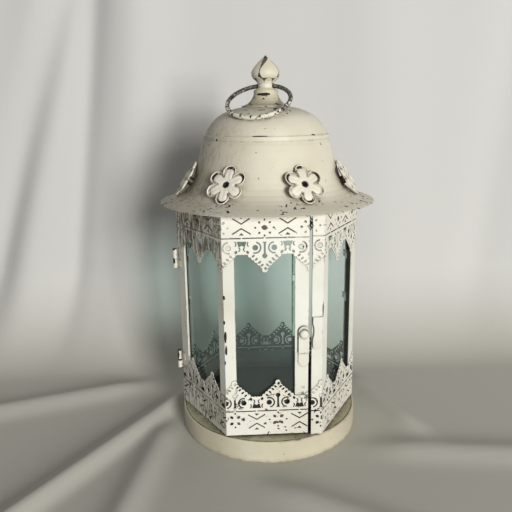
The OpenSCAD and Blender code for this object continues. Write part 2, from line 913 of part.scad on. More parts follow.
module flower(index) {
    color(paint)
        on_flower(index)
            difference() {
                linear_extrude(petal_rim_h + petal_t)
                    flower_sheet(0);
                translate([0, 0, petal_t])
                    linear_extrude(petal_rim_h + overrun)
                        flower_sheet(petal_rim_w);
                cylinder(r = rivet_r, h = 2 * rivet_shank_l, center = true);
            }
}

// Hollow rivets through the roof's sheet, with a collar between the roof and the flower
module flower_rivets() {
    head_h = 0.5;
    head_over = 0.6;
    color(shade)
        difference() {
            for (index = [1:flower_count])
                on_flower(index)
                    difference() {
                        union() {
                            translate([0, 0, -rivet_shank_l])
                                cylinder(r = rivet_r, h = rivet_shank_l + petal_t);
                            translate([0, 0, -rivet_shank_l])
                                cylinder(r = rivet_collar_r, h = rivet_shank_l);
                            translate([0, 0, petal_t])
                                cylinder(r = rivet_r + head_over, h = head_h);
                        }
                        translate([0, 0, -rivet_shank_l - overrun])
                            cylinder(r = rivet_bore_r, h = 2 * rivet_shank_l);
                    }
            // The collars end on the roof's sheet, and only the shanks go through it
            difference() {
                rotate_extrude()
                    polygon(concat(skirt_outline, [[0, joint_z], [0, brim_z]]));
                for (index = [1:flower_count])
                    on_flower(index)
                        cylinder(r = rivet_r, h = 4 * rivet_shank_l, center = true);
            }
        }
}

// The latch plate: welded flat at its foot, then raised to leave room for the tongue
module latch_plate() {
    end_r = latch_plate_w / 2;
    head_l = 6;
    flat_l = 13;
    plate_top_z = latch_z + head_l;
    plate_foot = plate_top_z - latch_plate_h;
    crease = plate_foot + flat_l;
    color(paint)
        difference() {
            union() {
                sheet_on(0, 0, sheet_t)
                    translate([latch_x, plate_foot + end_r]) {
                        circle(end_r);
                        translate([-end_r, 0])
                            square([latch_plate_w, crease - plate_foot - end_r]);
                    }
                sheet_on(0, 0, latch_face)
                    translate([latch_x - end_r, crease - sheet_t])
                        square([latch_plate_w, sheet_t]);
                sheet_on(0, latch_rise, sheet_t)
                    translate([latch_x, 0]) {
                        translate([-end_r, crease - sheet_t])
                            square([latch_plate_w, plate_top_z - end_r - crease + sheet_t]);
                        translate([0, plate_top_z - end_r])
                            circle(end_r);
                    }
            }
            on_face(0)
                translate([latch_x, latch_z, -overrun])
                    cylinder(r = latch_pin_r + latch_clear, h = latch_face + 2 * overrun);
        }
}

// A round knob on a short pin
module latch_knob() {
    neck = latch_face + knob_gap - tongue_out;
    edge_in = 0.8;
    edge_drop = 0.3;
    dome_in = 2;
    color(paint)
        on_face(0)
            translate([latch_x, latch_z, tongue_out]) {
                cylinder(r = latch_pin_r, h = neck);
                translate([0, 0, neck]) {
                    rotate_extrude()
                        polygon([
                            [0, 0], [knob_r, 0], [knob_r, knob_h / 2],
                            [knob_r - edge_in, knob_h - edge_drop],
                            [knob_r - dome_in, knob_h], [0, knob_h]]);
                }
            }
}

// The tongue behind the latch plate, hanging down while the latch is open
module latch_tongue() {
    color(shade)
        sheet_on(0, tongue_out, tongue_t)
            translate([latch_x, latch_z])
                difference() {
                    union() {
                        circle(tongue_w / 2);
                        translate([-tongue_w / 2, -tongue_l + tongue_w / 2])
                            square([tongue_w, tongue_l - tongue_w / 2]);
                        translate([0, -tongue_l + tongue_w / 2])
                            circle(tongue_w / 2);
                    }
                    circle(latch_pin_r);
                }
}

// The fixed posts. The left one ends at the hinges, with no leg under the door.
module post_front_right() { post(0, strip_w, post_leg, base_h, frame_top); }
module post_right() { post(1, post_leg, post_leg, base_h, frame_top); }
module post_back_right() { post(2, post_leg, post_leg, base_h, frame_top); }
module post_back_left() { post(3, post_leg, post_leg, base_h, frame_top); }

module post_left() {
    edge = side - lace_edge_gap;
    color(paint)
        translate([0, 0, base_h])
            linear_extrude(body_h)
                plan_on(4) {
                    translate([side - post_leg, 0])
                        square([edge - side + post_leg, sheet_t]);
                    translate([side - post_leg, 0])
                        square([sheet_t, flange_d]);
                }
}

// The fixed rails, between the posts of each fixed face
module fixed_lower_rail(face) {
    rail(face, post_leg, side - post_leg, base_h, base_h + rail_h, base_h + ledge_z);
}

module fixed_upper_rail(face) {
    rail(face, post_leg, side - post_leg, frame_top - rail_h, frame_top, frame_top - ledge_z);
}

module rail_lower_front_right() { fixed_lower_rail(1); }
module rail_lower_back_right() { fixed_lower_rail(2); }
module rail_lower_back() { fixed_lower_rail(3); }
module rail_lower_back_left() { fixed_lower_rail(4); }
module rail_upper_front_right() { fixed_upper_rail(1); }
module rail_upper_back_right() { fixed_upper_rail(2); }
module rail_upper_back() { fixed_upper_rail(3); }
module rail_upper_back_left() { fixed_upper_rail(4); }

// The fixed panes, one on each fixed face
module fixed_pane(face) { pane(face, glass_inset, side - glass_inset, pane_foot, pane_head); }
module pane_front_right() { fixed_pane(1); }
module pane_back_right() { fixed_pane(2); }
module pane_back() { fixed_pane(3); }
module pane_back_left() { fixed_pane(4); }

// The door's own posts, rails and panes, over the left and front faces
door_stile_edge = hinge_gap + hinge_stile_w;
latch_stile_from = door_edge - latch_stile_w;

module door_hinge_stile() { stile(5, hinge_gap, door_stile_edge, door_foot, door_top); }
module door_corner_post() { post(5, door_leg_left, door_leg_front, door_foot, door_top); }
module door_latch_stile() { stile(0, latch_stile_from, door_edge, door_foot, door_top); }

module door_rail(face, from, to, at_top) {
    if (at_top)
        rail(face, from, to, door_top - rail_h, door_top, door_top - ledge_z);
    else
        rail(face, from, to, door_foot, door_foot + rail_h, door_foot + ledge_z);
}

module door_rail_lower_left() { door_rail(5, door_stile_edge, side - door_leg_left, false); }
module door_rail_upper_left() { door_rail(5, door_stile_edge, side - door_leg_left, true); }
module door_rail_lower_front() { door_rail(0, door_leg_front, latch_stile_from, false); }
module door_rail_upper_front() { door_rail(0, door_leg_front, latch_stile_from, true); }

module door_pane_left() {
    pane(5, hinge_gap + glass_inset, side - glass_inset, door_pane_foot, door_pane_head);
}

module door_pane_front() {
    pane(0, glass_inset, door_edge - latch_pane_inset, door_pane_foot, door_pane_head);
}

module door_glass_clips() {
    clips(5, glass_inset + hinge_gap, side - glass_inset);
    clips(0, glass_inset, door_edge - latch_pane_inset);
}

// The door's strips bend round its corner
module door_lace_lower() {
    color(lace_paint)
        mitred(door_foot, door_top) {
            lower_lace(5, hinge_gap, lace_corner, door_foot);
            lower_lace(0, side - lace_corner, door_edge, door_foot);
        }
}

module door_lace_upper() {
    color(lace_paint)
        mitred(door_foot, door_top) {
            upper_lace(5, hinge_gap, lace_corner, door_top);
            upper_lace(0, side - lace_corner, door_edge, door_top);
        }
}

// The ring, which leans forward on the dome and swings over the bud to the back
module ring_handle() {
    color(steel)
        translate([0, 0, pivot_z])
            rotate([0, 0, ring_turn])
                rotate([ring_drop, 0, 0])
                    translate([0, ring_set - ring_r, 0])
                        rotate_extrude()
                            translate([ring_r, 0])
                                circle(wire_r);
}

base_band();
floor_plate();
post_front_right();
post_right();
post_back_right();
post_back_left();
post_left();
rail_lower_front_right();
rail_lower_back_right();
rail_lower_back();
rail_lower_back_left();
rail_upper_front_right();
rail_upper_back_right();
rail_upper_back();
rail_upper_back_left();
pane_front_right();
pane_back_right();
pane_back();
pane_back_left();
frame_glass_clips();
frame_lace_lower();
frame_lace_upper();
keeper();
hinge_leaf_frame_upper();
hinge_leaf_frame_lower();
hinge_pins();
top_plate();
roof_skirt();
roof_dome();
crown();
finial();
stem_washer();
stem_nut();
flower(1);  // flower_1
flower(2);  // flower_2
flower(3);  // flower_3
flower(4);  // flower_4
flower(5);  // flower_5
flower(6);  // flower_6
flower(7);  // flower_7
flower_rivets();
door_hinge_stile();
door_corner_post();
door_latch_stile();
door_rail_lower_left();
door_rail_upper_left();
door_rail_lower_front();
door_rail_upper_front();
door_pane_left();
door_pane_front();
door_glass_clips();
door_lace_lower();
door_lace_upper();
hinge_leaf_door_upper();
hinge_leaf_door_lower();
latch_plate();
latch_knob();
latch_tongue();
ring_handle();
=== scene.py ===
import math

import bpy
from mathutils import Matrix, Vector


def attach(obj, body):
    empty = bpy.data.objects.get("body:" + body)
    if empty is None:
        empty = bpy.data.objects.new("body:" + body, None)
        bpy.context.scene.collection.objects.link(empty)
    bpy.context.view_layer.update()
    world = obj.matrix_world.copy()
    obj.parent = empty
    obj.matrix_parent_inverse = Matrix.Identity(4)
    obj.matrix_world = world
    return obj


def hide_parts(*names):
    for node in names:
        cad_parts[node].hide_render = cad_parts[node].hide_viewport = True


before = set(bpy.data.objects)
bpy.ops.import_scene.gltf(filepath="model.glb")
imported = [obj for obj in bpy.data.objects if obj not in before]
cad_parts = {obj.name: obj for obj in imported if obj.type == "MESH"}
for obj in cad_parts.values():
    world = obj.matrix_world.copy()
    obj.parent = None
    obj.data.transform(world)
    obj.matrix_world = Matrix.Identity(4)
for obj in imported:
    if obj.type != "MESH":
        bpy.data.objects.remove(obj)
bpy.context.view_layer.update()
mm = 0.001

# The cloth that the lantern stands on
# A pale cotton sheet lies on a table and hangs close behind the lantern, with a few upright
# folds on the wall and low ridges on the table. It is no part of the lantern. The camera looks
# through its back, so that the lantern can be seen from behind as well.
# The part that lies on the table is coloured darker and warmer than the part that hangs: painted shade and warmer
# light on one and the same cloth
HANGING_CLOTH = "CCCBC9"
SHADED_LYING_CLOTH = "BDBBB2"
CLOTH_HALF_WIDTH = 0.9
CLOTH_FRONT = -0.9
CLOTH_BACK = 0.19
CLOTH_BEND = 0.1
CLOTH_HEIGHT = 1.1
# Each fold on the wall: its place at the table, lean, half width and depth, in metres
WALL_FOLDS = ((-0.238, 0.147, 0.016, 0.0105), (-0.35, 0.34, 0.022, 0.016), (-0.165, 0.09, 0.035, -0.016),
              (-0.30, 0.2, 0.03, -0.012), (0.16, -0.05, 0.05, -0.008), (0.27, 0.1, 0.03, 0.009),
              (0.36, 0.05, 0.025, -0.012), (-0.5, 0.2, 0.04, 0.02), (0.52, -0.1, 0.04, 0.018))
# Each ridge on the table: one end, the other end, half width and height, in metres
TABLE_RIDGES = ((-0.09, 0.03, -0.20, -0.14, 0.009, 0.009), (-0.10, -0.04, -0.13, -0.20, 0.012, 0.006),
                (0.10, 0.05, 0.125, -0.02, 0.012, 0.007), (0.12, -0.07, 0.34, -0.10, 0.014, 0.005),
                (0.02, -0.13, 0.16, -0.22, 0.014, 0.005), (-0.16, 0.06, -0.34, 0.0, 0.014, 0.007))


def linear(colour):
    """An sRGB hex colour as linear red, green, blue and alpha."""
    parts = [int(colour[i:i + 2], 16) / 255 for i in (0, 2, 4)]
    return tuple(p / 12.92 if p <= 0.04045 else ((p + 0.055) / 1.055) ** 2.4 for p in parts) + (1.0,)


def add_node(material, kind, inputs=None, **settings):
    """Adds a node, sets its settings, and sets or links its inputs by name or number."""
    node = material.node_tree.nodes.new(kind)
    for setting, value in settings.items():
        setattr(node, setting, value)
    for socket, value in (inputs or {}).items():
        if isinstance(value, bpy.types.NodeSocket):
            material.node_tree.links.new(value, node.inputs[socket])
        else:
            node.inputs[socket].default_value = value
    return node


def new_material(name):
    """A material with an empty node tree."""
    material = bpy.data.materials.new(name)
    material.use_nodes = True
    material.node_tree.nodes.clear()
    return material


def show(material, shader):
    """Sends a shader to the material's output."""
    add_node(material, "ShaderNodeOutputMaterial", {"Surface": shader})
    return material


def pick_only(*pieces):
    """Selects only these objects, so that an operator acts on nothing else."""
    bpy.ops.object.select_all(action="DESELECT")
    for piece in pieces:
        piece.select_set(True)
    if pieces:
        bpy.context.view_layer.objects.active = pieces[0]


cloth = new_material("pale_cotton_sheet")
place = add_node(cloth, "ShaderNodeTexCoord").outputs["Object"]
height = add_node(cloth, "ShaderNodeSeparateXYZ", {"Vector": place}).outputs["Z"]
hanging = add_node(cloth, "ShaderNodeMapRange", {"Value": height, "From Min": 0.004, "From Max": 0.09}).outputs[0]
cloth_colour = add_node(cloth, "ShaderNodeMixRGB", {
    "Fac": hanging, "Color1": linear(SHADED_LYING_CLOTH), "Color2": linear(HANGING_CLOTH)}).outputs[0]
woven = add_node(cloth, "ShaderNodeBsdfPrincipled", {
    "Base Color": cloth_colour, "Roughness": 0.95, "Specular IOR Level": 0.1}).outputs[0]
unseen = add_node(cloth, "ShaderNodeMath", {
    0: add_node(cloth, "ShaderNodeLightPath").outputs["Is Camera Ray"],
    1: add_node(cloth, "ShaderNodeNewGeometry").outputs["Backfacing"]}, operation="MULTIPLY").outputs[0]
show(cloth, add_node(cloth, "ShaderNodeMixShader", {
    0: unseen, 1: woven, 2: add_node(cloth, "ShaderNodeBsdfTransparent").outputs[0]}).outputs[0])

pick_only()
bpy.ops.mesh.primitive_grid_add(x_subdivisions=330, y_subdivisions=280, size=2)
sheet = bpy.context.object
sheet.name = "cotton_sheet"
run = CLOTH_BACK - CLOTH_FRONT + CLOTH_HEIGHT
for vertex in sheet.data.vertices:
    across = vertex.co.x * abs(vertex.co.x) ** 0.3 * CLOTH_HALF_WIDTH
    along = CLOTH_FRONT + (vertex.co.y + 1) / 2 * run
    bent = max(0.0, min((along - CLOTH_BACK + CLOTH_BEND) / (CLOTH_BEND * math.pi / 2), 1.0))
    up = max(0.0, along - CLOTH_BACK + CLOTH_BEND - CLOTH_BEND * math.pi / 2)
    angle = bent * math.pi / 2
    back = min(along, CLOTH_BACK - CLOTH_BEND) + CLOTH_BEND * math.sin(angle)
    height = CLOTH_BEND * (1 - math.cos(angle)) + up
    fold = 0.0
    for middle, lean, half_width, depth in WALL_FOLDS:
        off = (across - middle - lean * height) / half_width
        fold += depth * math.exp(-off * off)
    ridge = 0.0
    for start_x, start_y, end_x, end_y, half_width, rise in TABLE_RIDGES:
        length = math.hypot(end_x - start_x, end_y - start_y)
        along_x, along_y = (end_x - start_x) / length, (end_y - start_y) / length
        share = ((across - start_x) * along_x + (back - start_y) * along_y) / length
        off = ((across - start_x) * along_y - (back - start_y) * along_x) / half_width
        fade = math.exp(-(max(0.0, -share, share - 1) * length / half_width / 2.5) ** 2)
        ridge += rise * fade * math.exp(-off * off)
    vertex.co = (across, back + fold * bent, height + ridge * (1 - bent))
pick_only(sheet)
bpy.ops.object.mode_set(mode="EDIT")
bpy.ops.mesh.select_all(action="SELECT")
bpy.ops.mesh.normals_make_consistent(inside=True)
bpy.ops.object.mode_set(mode="OBJECT")
bpy.ops.object.shade_smooth()
sheet.data.materials.append(cloth)

# The light
# Soft window light comes low from the front, a little from the right, and a sky lights the rest.
# Where the camera, glass or metal sees the sky itself, it is a pale grey.
KEY_WATTS = 71
SKY_STRENGTH = 0.18
SEEN_SKY_STRENGTH = 0.6


def soft_lamp(name, place, size, watts, colour):
    """A square area lamp that faces the lantern's middle."""
    pick_only()
    bpy.ops.object.light_add(type="AREA", location=place)
    lamp = bpy.context.object
    lamp.name = name
    lamp.data.size = size
    lamp.data.energy = watts
    lamp.data.color = linear(colour)[:3]
    lamp.rotation_euler = (Vector((0, 0, 0.17)) - Vector(place)).to_track_quat("-Z", "Y").to_euler()


soft_lamp("key_lamp", (0.9, -2.45, 0.6), 0.75, KEY_WATTS, "FFFEFA")
sky = bpy.data.worlds.new("pale_sky")
sky.use_nodes = True
sky.node_tree.nodes["Background"].inputs["Color"].default_value = linear("F2F4F7")
ray = add_node(sky, "ShaderNodeLightPath").outputs
glints = add_node(sky, "ShaderNodeMath", {0: ray["Is Glossy Ray"], 1: 0.3}, operation="MULTIPLY").outputs[0]
seen = add_node(sky, "ShaderNodeMath", {
    0: ray["Is Camera Ray"], 1: glints}, operation="MAXIMUM").outputs[0]
seen = add_node(sky, "ShaderNodeMath", {
    0: seen, 1: ray["Is Transmission Ray"]}, operation="MAXIMUM").outputs[0]
sky_level = add_node(sky, "ShaderNodeMapRange", {
    "Value": seen, "To Min": SKY_STRENGTH, "To Max": SEEN_SKY_STRENGTH}).outputs[0]
sky.node_tree.links.new(sky_level, sky.node_tree.nodes["Background"].inputs["Strength"])
bpy.context.scene.world = sky
bpy.context.scene.view_settings.view_transform = "Standard"

# The camera
# It stands a little left of the door's front, above the roof's brim, and looks slightly down.
CAMERA_PLACE = (-0.0355, -0.5147, 0.2878)
CAMERA_AZIMUTH = -2.82
CAMERA_TILT = 75.88
CAMERA_ROLL = -0.78
CAMERA_LENS = 41.39

pick_only()
bpy.ops.object.camera_add()
camera = bpy.context.object
camera.name = "photo_camera"
camera.data.lens = CAMERA_LENS
camera.data.sensor_width = 36
turn = Matrix.Rotation(math.radians(CAMERA_AZIMUTH), 4, "Z")
tilt = Matrix.Rotation(math.radians(CAMERA_TILT), 4, "X")
roll = Matrix.Rotation(math.radians(CAMERA_ROLL), 4, "Z")
camera.matrix_world = Matrix.Translation(CAMERA_PLACE) @ turn @ tilt @ roll
bpy.context.scene.camera = camera

# The base drum and the floor plate
# A ring of thin steel sheet with a rolled lip, and a round plate on it that carries the body.
# Both are brushed with cream paint and rubbed with dark brown wax, which stays in the creases,
# where the same brown is also painted as shade. The paint is chipped along the edges down to dark
# metal.
CREAM = "E4E6DD"
WORN_CREAM = "D3D0C2"
# The brown of the wax, which also serves as painted shade in creases, gaps and shaded sides
WAX_AND_SHADE_BROWN = "5B4E3F"
# The dark of bare metal, also painted as shade in deep gaps and behind the openwork
BARE_AND_SHADE_DARK = "241D18"


def aged_paint(name, coat=CREAM, worn=WORN_CREAM, chips=0.5, wax=0.75, crease=4, deep=0.35,
               edge_wear=0.5, bare_and_shaded_within=(), bare_and_shaded_levels=None, wax_and_shade_levels=(), marks=(),
               shaded_side=None):
    """Brushed paint with wax and painted shade in its creases. Chips, the wax with its painted shade,
    and edge wear run from 0 to 1, crease in mm. The wax and painted shade are full where less than
    deep of the light comes in. On the shaded side, painted shade grows to its share from one place
    along x to the next, in mm. Bare metal and painted shade show nearer to the axis than the within
    distances, in mm along directions, and below and above the bare and shaded levels. For each of
    the wax and shade levels, wax and painted shade grow to their share from one height to the next.
    Each mark, a middle and three half sizes in mm, takes the bare dark, for chips and painted shadows."""
    m = new_material(name)
    place = add_node(m, "ShaderNodeTexCoord").outputs["Object"]

    def noise(size, detail, rough=0.55):
        """Noise whose blotches are about size millimetres across."""
        return add_node(m, "ShaderNodeTexNoise", {
            "Vector": place, "Scale": 0.55 / (size * mm), "Detail": detail, "Roughness": rough}).outputs[0]

    def between(value, low, high):
        """0 below low, 1 above high."""
        return add_node(m, "ShaderNodeMapRange", {
            "Value": value, "From Min": low, "From Max": high}).outputs[0]

    def times(a, b):
        return add_node(m, "ShaderNodeMath", {0: a, 1: b}, operation="MULTIPLY").outputs[0]

    def most(a, b):
        return add_node(m, "ShaderNodeMath", {0: a, 1: b}, operation="MAXIMUM").outputs[0]

    def over(share, below, above):
        return add_node(m, "ShaderNodeMixRGB", {
            "Fac": share, "Color1": below, "Color2": above}).outputs[0]

    colour = over(between(noise(40, 3), 0.35, 0.7), linear(coat), linear(worn))
    streaks = between(noise(6, 6, 0.7), 0.45, 0.8)
    colour = over(times(streaks, 0.25), colour, linear(worn))
    # Wax in the creases, and painted shade there too: darker where ambient occlusion finds that little light comes in
    shelter = add_node(m, "ShaderNodeAmbientOcclusion", {"Distance": crease * mm}, samples=6).outputs["AO"]
    hidden = between(shelter, 0.92, deep)
    rubbed = between(noise(3, 5), 0.25, 0.6)
    wax_and_painted_shade = times(times(hidden, most(rubbed, 0.4)), wax)
    # Wax and painted shade that pieces set per point in their patina attribute, broken into upright runs
    point_wax_and_shade = add_node(m, "ShaderNodeAttribute", attribute_name="patina").outputs["Fac"]
    upright = add_node(m, "ShaderNodeMapping", {"Vector": place, "Scale": (1, 1, 0.22)}).outputs[0]
    runs = between(add_node(m, "ShaderNodeTexNoise", {
        "Vector": upright, "Scale": 0.55 / (1.5 * mm), "Detail": 4.0}).outputs[0], 0.62, 0.42)
    wax_and_painted_shade = most(wax_and_painted_shade, times(point_wax_and_shade, most(runs, 0.15)))
    height = add_node(m, "ShaderNodeSeparateXYZ", {"Vector": place}).outputs["Z"]
    darkened_by_levels = 0.0
    # Wax and painted shade that grow with height: painted shade low on the body, on the dome's top, at the crown's
    # foot and between the bud's petals; pits lie where these are
    for start, full, share in wax_and_shade_levels:
        level_darkening = times(between(height, start * mm, full * mm), share)
        wax_and_painted_shade = most(wax_and_painted_shade, times(level_darkening, most(streaks, 0.7)))
        darkened_by_levels = most(darkened_by_levels, level_darkening)
    # Painted shade in warm brown that grows towards one side, the side away from the lamp
    if shaded_side:
        (start, full, share) = shaded_side
        across = add_node(m, "ShaderNodeSeparateXYZ", {"Vector": place}).outputs["X"]
        side_shade = times(between(across, start * mm, full * mm), share)
        wax_and_painted_shade = most(wax_and_painted_shade, times(side_shade, most(runs, 0.6)))
    colour = over(wax_and_painted_shade, colour, linear(WAX_AND_SHADE_BROWN))
    specks = between(noise(2.6, 3), 0.71 - 0.05 * chips, 0.725 - 0.05 * chips)
    where = between(noise(24, 2), 0.48, 0.62)
    specks = times(specks, where)
    if wax_and_shade_levels:
        pitted = times(between(noise(2.2, 4), 0.59, 0.62), between(darkened_by_levels, 0.02, 0.06))
        specks = most(specks, times(pitted, between(noise(11, 2), 0.47, 0.52)))
    rounded = add_node(m, "ShaderNodeBevel", {"Radius": 0.9 * mm}, samples=4).outputs[0]
    true_normal = add_node(m, "ShaderNodeNewGeometry").outputs["True Normal"]
    along = add_node(m, "ShaderNodeVectorMath", {0: rounded, 1: true_normal}, operation="DOT_PRODUCT")
    edge = between(along.outputs["Value"], 0.985, 0.9)
    edge_chips = times(times(edge, between(noise(5, 5), 0.56, 0.62)), edge_wear)
    # Bare metal at specks and edge chips, and the same dark painted as shade where the patina attribute is above
    # about 2
    bare = most(most(specks, edge_chips), between(point_wax_and_shade, 1.8, 2.3))
    # Bare metal and painted shade below and above the two levels, where the openwork covers
    if bare_and_shaded_levels:
        (low, high) = bare_and_shaded_levels
        bare = most(bare, between(height, (low + 0.3) * mm, (low - 0.3) * mm))
        bare = most(bare, between(height, (high - 0.3) * mm, (high + 0.3) * mm))
    # Marks in the bare dark: chips, and painted shadows
    for x, y, z, half_x, half_y, half_z in marks:
        away = add_node(m, "ShaderNodeVectorMath", {
            0: place, 1: (x * mm, y * mm, z * mm)}, operation="SUBTRACT").outputs[0]
        away = add_node(m, "ShaderNodeVectorMath", {
            0: away, 1: (half_x * mm, half_y * mm, half_z * mm)}, operation="DIVIDE").outputs[0]
        away = add_node(m, "ShaderNodeVectorMath", {0: away}, operation="LENGTH").outputs["Value"]
        ragged = add_node(m, "ShaderNodeMath", {0: away, 1: noise(1.5, 4)}, operation="ADD").outputs[0]
        bare = most(bare, between(ragged, 1.5, 1.4))
    # Bare metal and painted shade nearer to the axis than the given distances
    outside = 0.0
    for direction, distance in bare_and_shaded_within:
        depth = add_node(m, "ShaderNodeVectorMath", {0: place, 1: direction}, operation="DOT_PRODUCT")
        depth = add_node(m, "ShaderNodeMath", {0: depth.outputs["Value"]}, operation="ABSOLUTE").outputs[0]
        outside = most(outside, between(depth, (distance - 0.1) * mm, (distance + 0.1) * mm))
    if bare_and_shaded_within:
        inside = add_node(m, "ShaderNodeMath", {0: 1.0, 1: outside}, operation="SUBTRACT").outputs[0]
        bare = most(bare, inside)
    colour = over(bare, colour, linear(BARE_AND_SHADE_DARK))
    roughness = add_node(m, "ShaderNodeMapRange", {
        "Value": most(bare, wax_and_painted_shade), "To Min": 0.5, "To Max": 0.8}).outputs[0]
    grain = add_node(m, "ShaderNodeBump", {
        "Strength": 0.25, "Distance": 0.15 * mm, "Height": noise(1.2, 4)}).outputs[0]
    dents = add_node(m, "ShaderNodeBump", {
        "Strength": 0.6, "Distance": 0.2 * mm, "Height": bare, "Normal": grain}, invert=True).outputs[0]
    return show(m, add_node(m, "ShaderNodeBsdfPrincipled", {
        "Base Color": colour, "Roughness": roughness, "Normal": dents,
        "Specular IOR Level": 0.35}).outputs[0])


def finish_nodes(material, *names):
    """Gives CAD nodes their material."""
    for name in names:
        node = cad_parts[name]
        node.data.materials.clear()
        node.data.materials.append(material)


APOTHEM = 69.28
FACE_DIRECTIONS = [(math.sin(math.radians(60 * k)), -math.cos(math.radians(60 * k)), 0) for k in range(3)]
drum_paint = aged_paint("waxed_cream_paint_on_drum", coat="CDC7B3", worn="B7AE95", chips=0.55,
                        edge_wear=0.7)
finish_nodes(drum_paint, "base_band")
# The floor plate gets wide crease darkening, painted shade next to the body's foot, and is dark inside the body
finish_nodes(aged_paint("cream_paint_on_floor_plate_with_painted_shade", coat="BAB899", worn="A3A080", chips=0.55,
                        wax=1.0, crease=9, deep=0.5,
                        bare_and_shaded_within=[(way, APOTHEM - 1) for way in FACE_DIRECTIONS]), "floor_plate")

# The posts of the body
# Strips of the same sheet, folded to the lantern's corners with a flange beside each pane,
# and clips bent from thin strip that hold the glass. Behind the lower openwork the posts are dark
# at their feet, bare metal and painted shade, and behind the upper openwork they are darker,
# painted shade. The inner side of the right post is dark. Long chips run up the corners.
LACED_ENDS = (52.5, 400)
# Lower down the body the paint grows darker, painted shade, with pits where it lies
sheet_paint = aged_paint("brushed_cream_paint", wax_and_shade_levels=[(75, 30, 0.12)])
post_paint = aged_paint("brushed_cream_paint_on_posts", wax=0.9, crease=2, deep=0.55, edge_wear=0.7,
                        bare_and_shaded_levels=LACED_ENDS, wax_and_shade_levels=[(75, 30, 0.12), (181, 185, 0.5)],
                        marks=[(40.1, -69.3, 129.6, 0.7, 1.2, 6.8), (-39.2, -69.3, 108, 1.1, 1.5, 5.5),
                               (-38.8, -69.3, 97, 1.0, 1.5, 4.5), (-40, -69.3, 121, 1.2, 1.5, 1.8),
                               (-40, -69.3, 86, 0.7, 1.2, 2.0), (-39.6, -69.3, 142, 1.1, 1.3, 1.8)])
finish_nodes(sheet_paint, "top_plate", "frame_glass_clips")
finish_nodes(post_paint, "post_front_right", "post_back_right", "post_back_left", "post_left")
finish_nodes(aged_paint("brushed_cream_paint_on_right_post", bare_and_shaded_levels=LACED_ENDS,
                        bare_and_shaded_within=[(FACE_DIRECTIONS[1], APOTHEM - 0.9)]), "post_right")

# The rails behind the openwork
# Bent strips of the same sheet behind the openwork, coloured nearly black: dark wax and painted
# shade for the gap behind it, so that what shows through its holes is nearly black.
rail_paint = aged_paint("nearly_black_paint_on_rails_as_shade", coat="5A5045", worn="3C342C", chips=1, wax=1)
finish_nodes(
    rail_paint, "rail_lower_front_right", "rail_lower_back_right", "rail_lower_back",
    "rail_lower_back_left", "rail_upper_front_right", "rail_upper_back_right", "rail_upper_back",
    "rail_upper_back_left", "door_rail_lower_left", "door_rail_upper_left",
    "door_rail_lower_front", "door_rail_upper_front")

# The panes
# Old window glass, two millimetres thick, faintly grey-green and a little dusty. What is seen
# through it isn't bent, because the panes are flat and thin.
PANE_TINT = "F7FDFC"
DUST = "AEBDB8"
DUST_SHARE = 0.045
pane_glass = new_material("old_window_glass")
clear = add_node(pane_glass, "ShaderNodeBsdfTransparent", {"Color": linear(PANE_TINT)}).outputs[0]
dusty = add_node(pane_glass, "ShaderNodeBsdfDiffuse", {"Color": linear(DUST)}).outputs[0]
film = add_node(pane_glass, "ShaderNodeMixShader", {0: DUST_SHARE, 1: clear, 2: dusty}).outputs[0]
shine = add_node(pane_glass, "ShaderNodeBsdfGlossy", {"Roughness": 0.03}).outputs[0]
facing = add_node(pane_glass, "ShaderNodeFresnel", {"IOR": 1.45}).outputs[0]
back = add_node(pane_glass, "ShaderNodeNewGeometry").outputs["Backfacing"]
front = add_node(pane_glass, "ShaderNodeMath", {0: 1.0, 1: back}, operation="SUBTRACT").outputs[0]
shine_share = add_node(pane_glass, "ShaderNodeMath", {0: facing, 1: front}, operation="MULTIPLY").outputs[0]
show(pane_glass, add_node(pane_glass, "ShaderNodeMixShader", {0: shine_share, 1: film, 2: shine}).outputs[0])
finish_nodes(pane_glass, "pane_front_right", "pane_back_right", "pane_back", "pane_back_left",
             "door_pane_left", "door_pane_front")

# The openwork strips
# Thin sheet pierced like lace, with peaks edged in scallops, scroll eyes, drops between them and
# crosses below. The strips are soldered round the posts at both ends of the glass and bend
# sharply at the corners. They are painted white outside, and wax stays in the pierced edges, with
# painted shade there. Their inner side is dark, painted shade for the strips seen through the
# glass. Lower down, and on the door's left face away from the lamp, they carry painted shade, with wax.
STRIP_THICK = 0.6
PEAK_PITCH = 36
VALLEY_TOP = 35.2
PEAK_TOP = 49.7
PEAK_FOOT = 13.2
TIP_R = 2.3
UPPER_TRIM = 4
FACE_WIDTH = 80


def arc(x, height, radius, start, end, points=12):
    """Points on part of a circle, its angles in degrees."""
    steps = [math.radians(start + (end - start) * i / (points - 1)) for i in range(points)]
    return [(x + radius * math.cos(t), height + radius * math.sin(t)) for t in steps]


def round_hole(x, height, radius):
    return arc(x, height, radius, 0, 330, 12)


def curl(x, height, radius, width, start, end):
    """A thin slot that follows part of a circle."""
    outer = arc(x, height, radius + width / 2, start, end)
    return outer + arc(x, height, radius - width / 2, end, start)


def long_hole(x, height, length, width, turn):
    """A slot with pointed ends, turned in degrees from level."""
    half = length / 2
    outline = [(-half, 0), (width / 2 - half, -width / 2), (half - width / 2, -width / 2),
               (half, 0), (half - width / 2, width / 2), (width / 2 - half, width / 2)]
    c, s = math.cos(math.radians(turn)), math.sin(math.radians(turn))
    return [(x + c * a - s * b, height + s * a + c * b) for a, b in outline]


def chevron(x, height, reach, rise, width):
    """A bent thin slot, its point at the given height, and its ends higher by rise."""
    return [(x, height), (x + reach, height + rise), (x + reach, height + rise + width),
            (x, height + width), (x - reach, height + rise + width), (x - reach, height + rise)]


